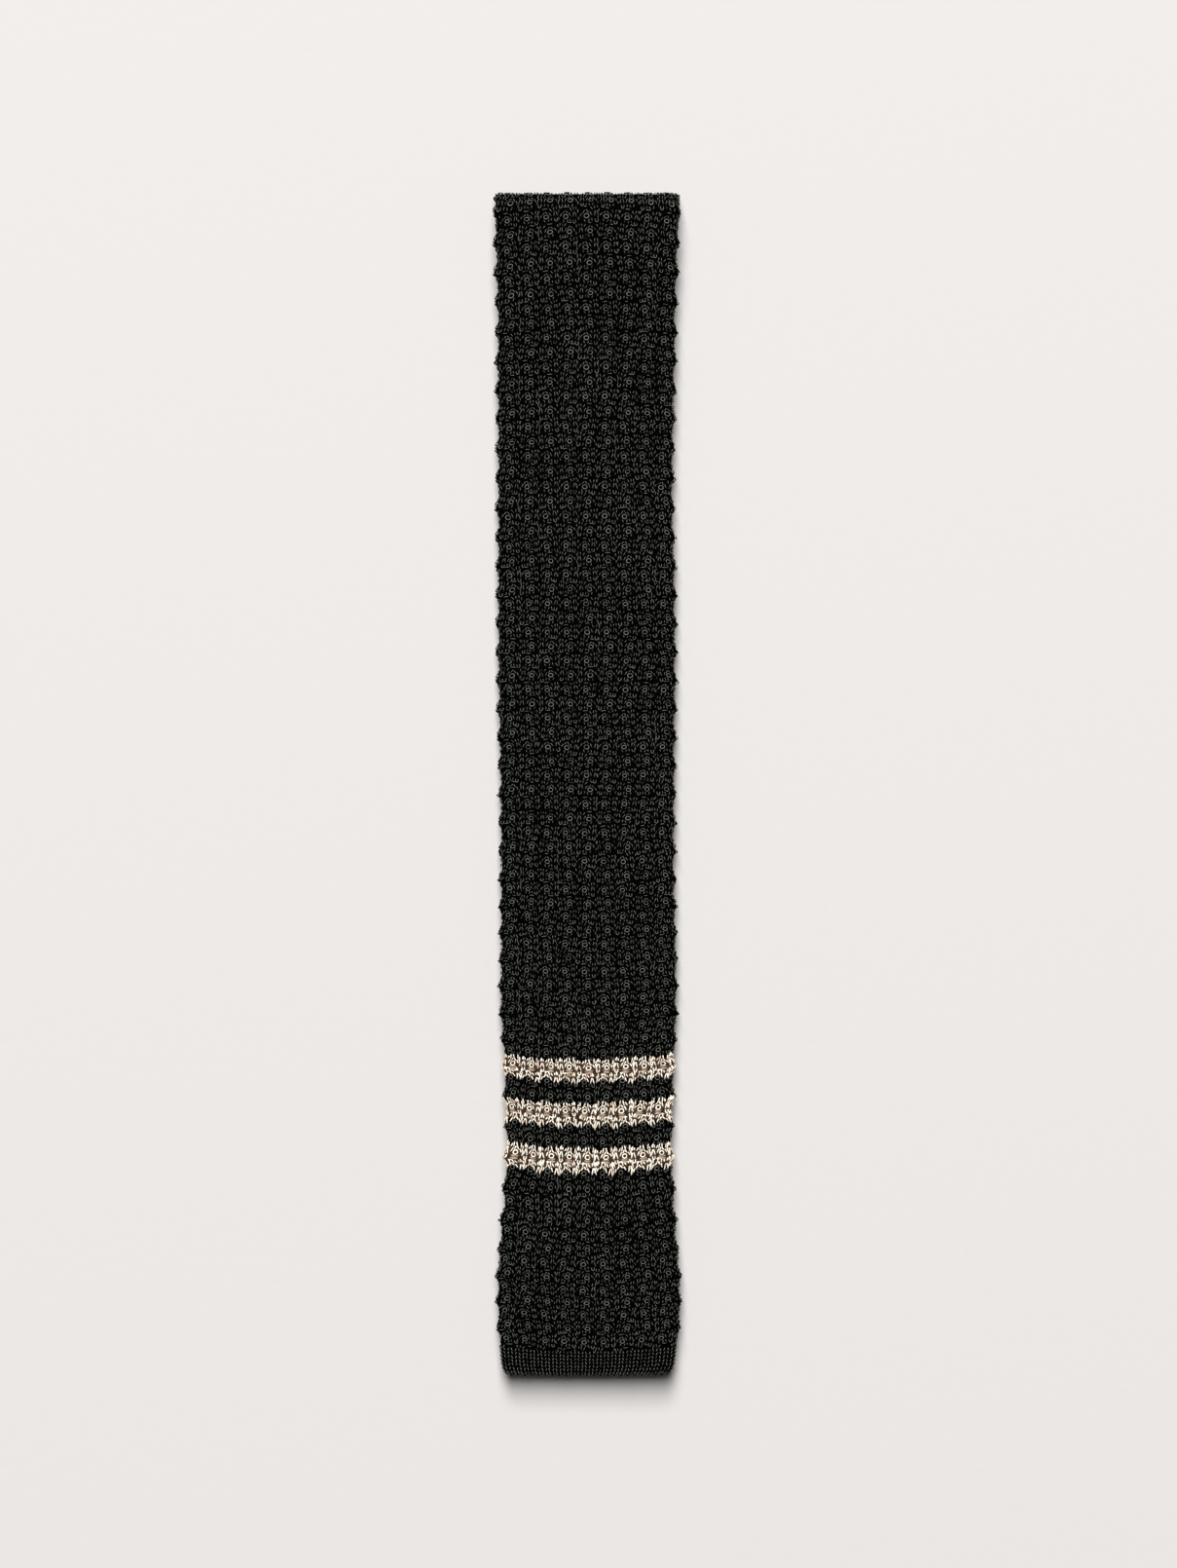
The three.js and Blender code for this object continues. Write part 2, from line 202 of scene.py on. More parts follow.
def cloth_at(distance):
    """Half width, drift to the side, bow and droop of the cloth, in mm."""
    face = distance / LEG_START["wide_back"]
    from_fold = distance - LEG_START["wide_back"]
    back = from_fold / (LEG_START["neck_fold"] - LEG_START["wide_back"])
    on_face = distance <= LEG_START["wide_back"]
    on_back = distance <= LEG_START["neck_fold"]
    from_neck = distance - LEG_START["neck_side"]
    wide_taper = eased((from_fold - WIDE_TAPER[0]) / WIDE_TAPER[1])
    narrow_taper = eased((from_neck - NARROW_TAPER[0]) / NARROW_TAPER[1])
    back_width = blend(WIDE_WIDTH * look_up(WIDE_BACK, 1, back), NECK_WIDTH, wide_taper)
    far_width = np.where(on_back, back_width, blend(NECK_WIDTH, NARROW_WIDTH, narrow_taper))
    width = np.where(on_face, WIDE_WIDTH * look_up(WIDE_FACE, 1, face), far_width)
    shift = np.where(on_face, look_up(WIDE_FACE, 2, face), on_back * look_up(WIDE_BACK, 2, back))
    bow = np.where(on_face, look_up(WIDE_FACE, 3, face), on_back * look_up(WIDE_BACK, 3, back))
    droop = on_face * look_up(WIDE_FACE, 4, face)
    return width / 2, WIDE_WIDTH * shift, COURSE_BOW * bow, EDGE_DROOP * droop


sample_places = np.array([5.0, 70.0, 200.0, 360.0, 700.0, 1400.0])
print("half widths in mm:", np.round(cloth_at(sample_places)[0], 1))

# %% [markdown]
# The knit repeats every eight courses. The repeats are tallest in the stripes and near the fold, so a
# short table says how many of them lie below a few places. Between its rows they are evenly spaced.

# %% Counting the repeats along the cloth
# distance from the hem in mm, repeats up to there
KNOWN_REPEATS = np.array([
    [0.0, 0.70],
    [10.3, 2.0],
    [18.6, 3.0],
    [26.1, 4.0],
    [34.4, 5.0],
    [43.3, 6.0],
    [52.6, 7.0],
    [62.8, 8.0],
    [72.4, 9.0],
    [81.9, 10.0],
    [91.1, 11.0],
    [99.8, 12.0],
    [150.6, 18.0],
    [203.9, 24.0],
    [257.4, 30.0],
    [313.1, 36.0],
    [331.3, 38.0],
    [350.5, 40.0],
])
FAR_REPEAT = 9.3
far_repeats = KNOWN_REPEATS[-1, 1] + (TIE_LENGTH - KNOWN_REPEATS[-1, 0]) / FAR_REPEAT
ALL_REPEATS = np.vstack([KNOWN_REPEATS, [TIE_LENGTH, far_repeats]])


def repeats_at(distance):
    return np.interp(distance, ALL_REPEATS[:, 0], ALL_REPEATS[:, 1])


def distance_of(repeats):
    return np.interp(repeats, ALL_REPEATS[:, 1], ALL_REPEATS[:, 0])


sample_repeats = repeats_at([0, LEG_START["top_fold"], TIE_LENGTH])
print("repeats at the hem, fold and end:", np.round(sample_repeats, 2))

# %% [markdown]
# A point of the cloth is found in two steps. The first goes round the flat tube: along its face,
# round a side edge and on under it. The second lays that place on the line of the cloth. Height is
# measured out from the ground, the thin dark cloth that the loops stand on.

# %% From places on the tube to places on the table
GROUND_HALF = 0.80
EDGE_MARGIN = 0.15
EDGE_RADIUS = GROUND_HALF + 0.25
EDGE_RUN = math.pi * EDGE_RADIUS
SCALLOP_DEPTH = 1.25
SCALLOP_PLACE = 0.28
SCALLOP_ABOVE = 0.38
SCALLOP_BELOW = 0.20
SCALLOP_MEAN = 0.28
SCALLOP_START = (6.5, 9.5)
PRESSED_HEIGHT = 0.04
HANG_START = NARROW_WIDTH / 2 - 0.65
HANG_END = WIDE_WIDTH / 2


def face_run(distance):
    """From the middle of the face to where the side edge starts to turn."""
    return cloth_at(distance)[0] - GROUND_HALF - EDGE_MARGIN


def scallop(distance):
    """How far the side edges stand out, as a share: a small point once a repeat."""
    step = np.mod(repeats_at(distance) - SCALLOP_PLACE, 1.0)
    above = np.clip(1 - step / SCALLOP_ABOVE, 0.0, 1.0)
    below = np.clip(1 - (1 - step) / SCALLOP_BELOW, 0.0, 1.0)
    past_hem = eased((distance - SCALLOP_START[0]) / (SCALLOP_START[1] - SCALLOP_START[0]))
    return (np.maximum(above, below) - SCALLOP_MEAN) * past_hem


def cloth_point(distance, x, lift):
    """Places in metres. Lift is the height above the middle of the cloth on its front."""
    half_width, shift, bow, droop = cloth_at(distance)
    across = x / half_width
    turned = (distance - LEG_START["top_fold"]) / (LEG_START["wide_back"] - LEG_START["top_fold"])
    wave = scallop(distance) * (1 - eased(turned))
    out = x + across * np.abs(across) ** 3 * wave * SCALLOP_DEPTH + shift
    place = distance + bow * across * across
    inside = np.clip(place, 0.0, TIE_LENGTH)
    past = place - inside
    y, z = (np.interp(inside, LINE_DISTANCE, LINE[:, axis]) for axis in (0, 1))
    along_y, along_z = (np.interp(inside, LINE_DISTANCE, LINE_HEADING[:, axis]) for axis in (0, 1))
    hang = np.clip((np.abs(out) - HANG_START) / (HANG_END - HANG_START), 0.0, 1.2)
    return MM * np.column_stack([
        out - BOX_SHIFT,
        y + along_y * past - along_z * lift,
        np.maximum(z + along_z * past + along_y * lift - droop * hang ** 1.5, PRESSED_HEIGHT),
    ])


def tube_point(distance, around, height):
    """Places in metres. Around runs over the tube in mm from the middle of its face."""
    side = np.sign(around)
    reach = np.abs(around)
    run = face_run(distance)
    angle = np.clip((reach - run) / EDGE_RUN, 0.0, 1.0) * math.pi
    under = np.maximum(reach - run - EDGE_RUN, 0.0)
    x = np.minimum(reach, run) - under + np.sin(angle) * (GROUND_HALF + height)
    return cloth_point(distance, side * x, np.cos(angle) * (GROUND_HALF + height))


sample_point = tube_point(np.array([180.0]), np.array([0.0]), np.array([0.5]))
print("a point over the middle of the face:", sample_point)

# %% [markdown]
# Shader maths reads like arithmetic when a small class stands for a socket. A second one makes the
# nodes of one finish. Both are used for every material of the scene.

# %% Helpers for the finishes
class Wire:
    """A socket that takes part in sums."""

    def __init__(self, finish, socket):
        self.finish = finish
        self.socket = socket

    def sum_with(self, operation, first, second):
        return self.finish.node("ShaderNodeMath", {"operation": operation}, {0: first, 1: second})

    def __add__(self, other):
        return self.sum_with("ADD", self, other)

    def __radd__(self, other):
        return self.sum_with("ADD", other, self)

    def __sub__(self, other):
        return self.sum_with("SUBTRACT", self, other)

    def __rsub__(self, other):
        return self.sum_with("SUBTRACT", other, self)

    def __mul__(self, other):
        return self.sum_with("MULTIPLY", self, other)

    def __rmul__(self, other):
        return self.sum_with("MULTIPLY", other, self)


class Finish:
    """The nodes of one material."""

    def __init__(self, name):
        self.material = bpy.data.materials.new(name)
        self.material.use_nodes = True
        self.tree = self.material.node_tree
        self.tree.nodes.clear()

    def node(self, kind, settings=None, sockets=None, output=0):
        made = self.tree.nodes.new(kind)
        for name, value in (settings or {}).items():
            setattr(made, name, value)
        for name, value in (sockets or {}).items():
            if isinstance(value, Wire):
                self.tree.links.new(value.socket, made.inputs[name])
            else:
                made.inputs[name].default_value = value
        return Wire(self, made.outputs[output]) if made.outputs else None

    def mixed(self, share, low, high):
        settings = {"data_type": "RGBA"}
        return self.node("ShaderNodeMix", settings, {0: share, 6: low, 7: high}, output=2)

    def noise(self, size_mm, detail=2.0):
        where = self.node("ShaderNodeTexCoord", output=3)
        sockets = {"Vector": where, "Scale": 1 / (size_mm * MM), "Detail": detail}
        return self.node("ShaderNodeTexNoise", None, sockets)

    def close(self, sockets):
        shader = self.node("ShaderNodeBsdfPrincipled", None, sockets)
        self.node("ShaderNodeOutputMaterial", None, {"Surface": shader})
        return self.material


print("finish helpers ready")

# %% [markdown]
# Silk yarn is smooth and a little glossy, and it is twisted from two plies. The twist runs round
# the yarn, so it follows the yarn's own UV map: once round for every turn of the ply. It could be
# modelled, but at this size a bump is enough. The light catches a thin line along the top of each
# yarn; that highlight is painted into the colour as a bright line there, with the flanks darker than
# the silk's own colour as painted shade, and the painted highlight wanders a little from loop to loop.

# %% Yarn finishes
PLY_TURN = 0.9
PLY_DEPTH = 0.00004
PAINTED_HIGHLIGHT_TURN = 0.14
WANDER_SIZE = 1.7
WANDER_GAIN = 4.4
WANDER_OFFSET = 1.2


def yarn_finish(name, side, painted_highlight, edge, roughness, specular):
    """Side is the flank colour, the silk darkened as painted shade; the second colour is a painted
    highlight along the top of the yarn, and edge is where it starts, as a cosine round the yarn.
    """
    finish = Finish(name)
    uv = finish.node("ShaderNodeUVMap", {"uv_map": "UVMap"})
    split = finish.node("ShaderNodeSeparateXYZ", None, {0: uv})
    around = split
    along = Wire(finish, split.socket.node.outputs[1])
    turns = (along * (1 / PLY_TURN) + around) * (4 * math.pi)
    ply = finish.node("ShaderNodeMath", {"operation": "SINE"}, {0: turns}) * 0.5 + 0.5
    # Facing is 1 along the top of the yarn, where the painted highlight lies.
    facing = finish.node("ShaderNodeMath", {"operation": "COSINE"}, {
        0: (around - PAINTED_HIGHLIGHT_TURN) * (2 * math.pi)})
    wander = finish.noise(WANDER_SIZE)
    fine = finish.noise(0.35, 3.0)
    strength = wander * WANDER_GAIN + ply * 0.2 - WANDER_OFFSET
    # The share of painted highlight: full along the top, none on the shaded flanks; it wanders with the
    # noise.
    share = (facing - edge) * (1 / (1 - edge)) * strength
    bump_sockets = {"Height": ply * 0.8 + fine * 0.4, "Distance": PLY_DEPTH, "Strength": 0.8}
    return finish.close({
        "Base Color": finish.mixed(share, side, painted_highlight),
        "Roughness": fine * 0.16 + (roughness - 0.08),
        "Normal": finish.node("ShaderNodeBump", None, bump_sockets),
        "Specular IOR Level": specular,
    })


# Each yarn's first colour is its flanks, the silk darkened as painted shade; the second is its painted
# highlight.
DARK_YARN = yarn_finish(
    "dark_silk_yarn", (0.0006, 0.0006, 0.0005, 1), (0.150, 0.159, 0.140, 1), 0.86, 0.34, 0.05)
LIGHT_YARN = yarn_finish(
    "light_silk_yarn", (0.46, 0.30, 0.19, 1), (1.0, 0.91, 0.77, 1), 0.2, 0.5, 0.4)
print("yarn finishes:", DARK_YARN.name, LIGHT_YARN.name)

# %% [markdown]
# Between the loops the eye falls on the ground of the knit, where little light gets. That shade is
# painted into its colour: it is the same silk, painted far darker, with the small humps of the loops
# that lie behind.

# %% Ground finishes
def ground_finish(name, dark, light):
    finish = Finish(name)
    where = finish.node("ShaderNodeTexCoord", output=3)
    cells = finish.node("ShaderNodeTexVoronoi", None, {"Vector": where, "Scale": 1 / (0.9 * MM)})
    spots = finish.noise(1.1, 3.0)
    bump_sockets = {"Height": cells, "Distance": 0.0002, "Strength": 0.7}
    return finish.close({
        "Base Color": finish.mixed(spots * cells * 2.0, dark, light),
        "Roughness": spots * 0.3 + 0.6,
        "Normal": finish.node("ShaderNodeBump", None, bump_sockets),
        "Specular IOR Level": 0.0,
    })


# The ground under the dark knit is painted shade, near black.
PAINTED_SHADE_GROUND = ground_finish("dark_silk_painted_shade_ground", (0.0002, 0.0002, 0.0002, 1), (0.0015, 0.0015, 0.0012, 1))
PATCH = ground_finish("light_silk_inside", (0.20, 0.14, 0.095, 1), (0.50, 0.38, 0.28, 1))
# The ground under the pale stripes is painted shade too: a dark brown, not the beige of the silk.
PAINTED_SHADE_STRIPE_GROUND = ground_finish("light_silk_painted_shade_ground", (0.003, 0.002, 0.001, 1), (0.065, 0.042, 0.028, 1))
print("ground finishes:", PAINTED_SHADE_GROUND.name, PAINTED_SHADE_STRIPE_GROUND.name)

# %% [markdown]
# The ground is one closed body, as long as the whole tie: rings of points round the tube, joined
# from the hem to the narrow end. A lofted mesh is made directly, because each ring is known.

# %% The ground of the knit
FACE_STEP = 1.1
HIDDEN_STEP = 3.0
FACE_POINTS = 12
EDGE_POINTS = 6
END_ROLL = 1.0
HEM_INSET = 0.25


def mesh_piece(name, places, loops, totals, material, uv=None):
    mesh = bpy.data.meshes.new(name)
    mesh.vertices.add(len(places))
    mesh.vertices.foreach_set("co", np.ascontiguousarray(places, dtype=np.float32).ravel())
    mesh.loops.add(len(loops))
    mesh.loops.foreach_set("vertex_index", np.ascontiguousarray(loops, dtype=np.int32))
    mesh.polygons.add(len(totals))
    starts = np.concatenate([[0], np.cumsum(totals)[:-1]]).astype(np.int32)
    mesh.polygons.foreach_set("loop_start", starts)
    if uv is not None:
        layer = mesh.uv_layers.new(name="UVMap")
        layer.data.foreach_set("uv", np.ascontiguousarray(uv, dtype=np.float32).ravel())
    mesh.materials.append(material)
    mesh.update(calc_edges=True)
    mesh.validate()
    mesh.shade_smooth()
    piece = bpy.data.objects.new(name, mesh)
    bpy.context.scene.collection.objects.link(piece)
    return piece


def ring_shares():
    """Places round the tube, as (share of the face run, share of the edge, run under)."""
    face = [(step / FACE_POINTS, 0.0, 0.0) for step in range(FACE_POINTS)]
    edge = [(1.0, step / EDGE_POINTS, 0.0) for step in range(EDGE_POINTS + 1)]
    under = [(1.0, 1.0, step / FACE_POINTS) for step in range(1, FACE_POINTS + 1)]
    return np.array(face + edge + under)


def tube_ring(distance, thin=1.0, extra=0.0):
    shares = ring_shares()
    run = face_run(np.array([distance]))[0] - END_ROLL * (1 - thin)
    around = shares[:, 0] * run + shares[:, 1] * EDGE_RUN + shares[:, 2] * run
    both = np.concatenate([around, -around[1:-1][::-1]])
    height = (GROUND_HALF + extra) * thin - GROUND_HALF
    return tube_point(np.full(len(both), distance), both, np.full(len(both), height))


def tube_body(name, start, end, material, extra=0.0, roll=0.0):
    seen_end = min(end, LEG_START["wide_back"])
    seen = np.linspace(start + roll, seen_end - roll, round((seen_end - start) / FACE_STEP) + 1)
    hidden = np.linspace(seen_end, end - roll, round((end - seen_end) / HIDDEN_STEP) + 1)
    inner = np.concatenate([seen, hidden[1:]])
    rings = [tube_ring(distance, extra=extra) for distance in inner]
    if roll > 0:
        rolled = [(0.0, 0.35), (0.3 * roll, 0.75)]
        rings = (
            [tube_ring(start + inset, thin) for inset, thin in rolled]
            + rings
            + [tube_ring(end - inset, thin) for inset, thin in rolled[::-1]]
        )
    size = len(rings[0])
    corner = np.arange(size)
    following = (corner + 1) % size
    quads = [
        np.column_stack([row * size + corner, (row + 1) * size + corner,
                         (row + 1) * size + following, row * size + following])
        for row in range(len(rings) - 1)
    ]
    last = (len(rings) - 1) * size
    loops = np.concatenate([np.concatenate(quads).ravel(), corner, last + corner[::-1]])
    totals = [4] * (len(quads) * size) + [size, size]
    return mesh_piece(name, np.concatenate(rings), loops, totals, material)


# Its near-black finish is painted shade for the holes between the loops.
ground = tube_body("knit_ground", HEM_INSET, TIE_LENGTH, PAINTED_SHADE_GROUND, roll=END_ROLL)
print("ground faces:", len(ground.data.polygons))

# %% [markdown]
# One half repeat of the pattern is four wales wide and four courses tall. Its loops were charted:
# a ring, an arch of short yarns over it, a leaning pair beside it, dots, a small cup and a
# faint float. Each is a short tube whose ends dive into the ground, as loops do between courses.

# %% The stitches of half a repeat
CELL_WIDTH = 5.95
CELL_HEIGHT = 4.45
YARN_RADIUS = 0.15
RING_WEIGHT = 1.4
RING_WIDE = 0.72
RING_TALL = 0.62
RING_TOP = 0.44
RING_TILT = 0.20
CUP_MIDDLE = (2.75, -1.30)
DIVE = -0.30
DIVE_RUN = 0.16
PATCH_DROPS = (-1.0, -1.7)
PATCH_RADIUS = 0.40
STRIPE_FAT = 1.5
# across, up, lean in degrees, length, height of its top, course that it belongs to
SHORT_YARNS = {
    "arch_left": (-0.67, 1.12, 50, 0.80, 0.34, 0.75),
    "arch_right": (0.30, 1.20, 125, 0.95, 0.36, 0.75),
    "outer_left": (-1.57, 0.42, 62, 0.90, 0.30, 0.40),
    "outer_right": (1.27, 0.54, 118, 1.15, 0.42, 0.40),
    "dash": (1.51, 1.82, 125, 0.90, 0.34, 1.80),
    "pair_left": (2.42, 0.51, 80, 1.40, 0.40, 0.40),
    "pair_right": (3.20, 0.48, 108, 1.40, 0.36, 0.40),
    "dot_left": (2.42, 2.03, 84, 0.60, 0.30, 2.00),
    "dot_right": (3.24, 2.12, 98, 0.60, 0.30, 2.00),
    "float": (-0.15, 2.48, 4, 1.40, 0.10, 2.40),
    "side_dash": (-2.30, 1.45, 78, 0.75, 0.28, 1.40),
    "side_dot": (-2.25, -0.50, 100, 0.55, 0.26, -0.45),
}
# the same, for the loops under the rings, which the stripes lack
DARK_YARNS = {
    "below_left": (-0.62, -1.22, 108, 0.70, 0.28, -1.20),
    "below_right": (0.55, -1.30, 66, 0.70, 0.28, -1.20),
    "below_far": (1.45, -1.15, 98, 0.62, 0.28, -1.15),
}
# the same, for the loops that only the stripes have
STRIPE_YARNS = {
    "leg_left": (-2.25, 0.30, 74, 1.80, 0.38, 0.15),
    "pair_left": (2.42, 0.22, 76, 1.90, 0.44, 0.15),
    "pair_right": (3.26, 0.20, 108, 1.90, 0.44, 0.15),
    "spike_left": (-1.75, 2.00, 98, 1.40, 0.36, 1.95),
    "spike_middle": (-0.35, 2.10, 80, 1.30, 0.36, 1.95),
    "spike_right": (0.70, 2.02, 103, 1.40, 0.36, 1.95),
    "spike_far": (2.95, 2.25, 92, 1.20, 0.36, 1.95),
}
FEW_YARNS = (
    "arch_left", "arch_right", "outer_left", "outer_right", "dash", "pair_left", "pair_right")


def tube(path, radius, sides, closed=False, spin=0.0):
    """Corners, faces and UV of a round yarn along a path of points. Spin turns its UV round it."""
    path = np.asarray(path, dtype=float)
    count = len(path)
    if closed:
        heading = np.roll(path, -1, axis=0) - np.roll(path, 1, axis=0)
    else:
        heading = np.gradient(path, axis=0)
    heading /= np.linalg.norm(heading, axis=1)[:, None]
    sideways = np.cross(heading, (0.0, 0.0, 1.0))
    sideways /= np.linalg.norm(sideways, axis=1)[:, None]
    upward = np.cross(sideways, heading)
    angle = 2 * math.pi * (np.arange(sides) + 0.5) / sides
    ring = np.cos(angle)[None, :, None] * sideways[:, None]
    ring = ring + np.sin(angle)[None, :, None] * upward[:, None]
    corners = (path[:, None] + radius * ring).reshape(-1, 3)
    lengths = np.concatenate([[0], np.cumsum(np.linalg.norm(np.diff(path, axis=0), axis=1))])
    closing = np.linalg.norm(path[0] - path[-1])
    faces = []
    uv = []
    for step in range(count if closed else count - 1):
        after = (step + 1) % count
        low = lengths[step]
        high = lengths[step + 1] if step + 1 < count else lengths[step] + closing
        for side in range(sides):
            other = (side + 1) % sides
            faces.append((step * sides + side, step * sides + other,
                          after * sides + other, after * sides + side))
            near = side / sides + spin
            far = (side + 1) / sides + spin
            uv += [(near, low), (far, low), (far, high), (near, high)]
    if not closed:
        for end, order in ((0, -1), (count - 1, 1)):
            cap = [end * sides + side for side in range(sides)][::order]
            faces.append(tuple(cap))
            uv += [(0.5, lengths[end])] * sides
    return corners, faces, uv


def short_path(across, up, lean, length, top, points):
    share = np.linspace(-1.0, 1.0, points)
    reach = share * (length / 2 + DIVE_RUN)
    angle = math.radians(lean)
    height = DIVE + (top - DIVE) * (1 - share ** 4)
    return np.column_stack([across + reach * math.cos(angle), up + reach * math.sin(angle), height])


def ring_path(points):
    angle = 2 * math.pi * (np.arange(points) + 0.25) / points
    y = RING_TALL * np.sin(angle)
    return np.column_stack([RING_WIDE * np.cos(angle), y, RING_TOP - RING_TILT * y])


def cup_path(points):
    angle = np.linspace(0.82 * math.pi, 2.18 * math.pi, points)
    x = 0.46 * np.cos(angle)
    y = 0.62 * np.sin(angle)
    height = 0.30 - 0.42 * np.clip(y / 0.62 + 0.1, 0, 1) ** 2
    return np.column_stack([CUP_MIDDLE[0] + x - 0.12 * y, CUP_MIDDLE[1] + y, height])


def stitch_kit(name, mirrored, fine, fat=1.0, striped=False):
    """The loops of half a repeat. Each corner knows its loop's course."""
    radius = YARN_RADIUS * fat
    ring_radius = radius if striped else radius * RING_WEIGHT
    loops = [
        (ring_path(9 if fine else 6), True, ring_radius, -0.1),
        (cup_path(6 if fine else 5), False, radius, -1.3),
    ]
    short_yarns = {**SHORT_YARNS, **(STRIPE_YARNS if striped else DARK_YARNS)}
    for yarn, (across, up, lean, length, top, course) in short_yarns.items():
        if fine or yarn in FEW_YARNS:
            path = short_path(across, up, lean, length, top, 4 if fine else 3)
            loops.append((path, False, radius, course))
    return loop_kit(name, loops, mirrored, 4)


def patch_kit(name, mirrored):
    """Two thick dull yarns under a ring."""
    loops = [
        (short_path(0.0, drop, 0, 1.7, 0.06, 4), False, PATCH_RADIUS, drop) for drop in PATCH_DROPS
    ]
    return loop_kit(name, loops, mirrored, 5)


def loop_kit(name, loops, mirrored, sides):
    """A small mesh from (path, closed, radius, course) of each loop."""
    corners, faces, uv, courses = [], [], [], []
    for path, closed, thickness, course in loops:
        if mirrored:
            path = path[::-1] * (-1, 1, 1)
        made, quads, coords = tube(path, thickness, sides, closed)
        base = sum(len(part) for part in corners)
        faces += [tuple(base + corner for corner in face) for face in quads]
        corners.append(made)
        uv += coords
        courses += [course] * len(made)
    mesh = bpy.data.meshes.new(name)
    mesh.from_pydata(np.concatenate(corners).tolist(), [], faces)
    layer = mesh.uv_layers.new(name="UVMap")
    layer.data.foreach_set("uv", np.array(uv, dtype=np.float32).ravel())
    mesh.attributes.new("course", "FLOAT", "POINT").data.foreach_set("value", courses)
    kit = bpy.data.objects.new(name, mesh)
    bpy.context.scene.collection.objects.link(kit)
    return kit


FINE_KIT = [stitch_kit("fine_kit", False, True), stitch_kit("fine_kit_mirrored", True, True)]
PLAIN_KIT = [stitch_kit("plain_kit", False, False), stitch_kit("plain_kit_mirrored", True, False)]
STRIPE_KIT = [
    stitch_kit("stripe_kit", False, True, STRIPE_FAT, True),
    stitch_kit("stripe_kit_mirrored", True, True, STRIPE_FAT, True),
]
PATCH_KIT = [patch_kit("patch_kit", False), patch_kit("patch_kit_mirrored", True)]
print("faces of a fine kit:", len(FINE_KIT[0].data.polygons))
print("faces of a plain kit:", len(PLAIN_KIT[0].data.polygons))

# %% [markdown]
# Geometry Nodes repeat the kits on a flat grid. Every second row takes the mirrored kit and moves
# a little to the side, which gives the zigzag of the rings. Each copy is turned and sized a little
# at random, with a fixed seed, so that no two loops are quite the same.

# %% The tree that knits rows of stitches
class Tree:
    """A Geometry Nodes tree with named inputs."""

    def __init__(self, name, inputs):
        self.tree = bpy.data.node_groups.new(name, "GeometryNodeTree")
        self.tree.interface.new_socket("Geometry", in_out="OUTPUT", socket_type="NodeSocketGeometry")
        for label, kind in inputs.items():
            self.tree.interface.new_socket(label, in_out="INPUT", socket_type=kind)
        self.inputs = self.tree.nodes.new("NodeGroupInput")
        self.output = self.tree.nodes.new("NodeGroupOutput")

    def value(self, label):
        return self.inputs.outputs[label]

    def node(self, kind, settings=None, sockets=None, output=0):
        made = self.tree.nodes.new(kind)
        for name, value in (settings or {}).items():
            setattr(made, name, value)
        for name, value in (sockets or {}).items():
            if isinstance(value, bpy.types.NodeSocket):
                self.tree.links.new(value, made.inputs[name])
            else:
                made.inputs[name].default_value = value
        return made.outputs[output]

    def maths(self, operation, first, second=0.0):
        return self.node("ShaderNodeMath", {"operation": operation}, {0: first, 1: second})


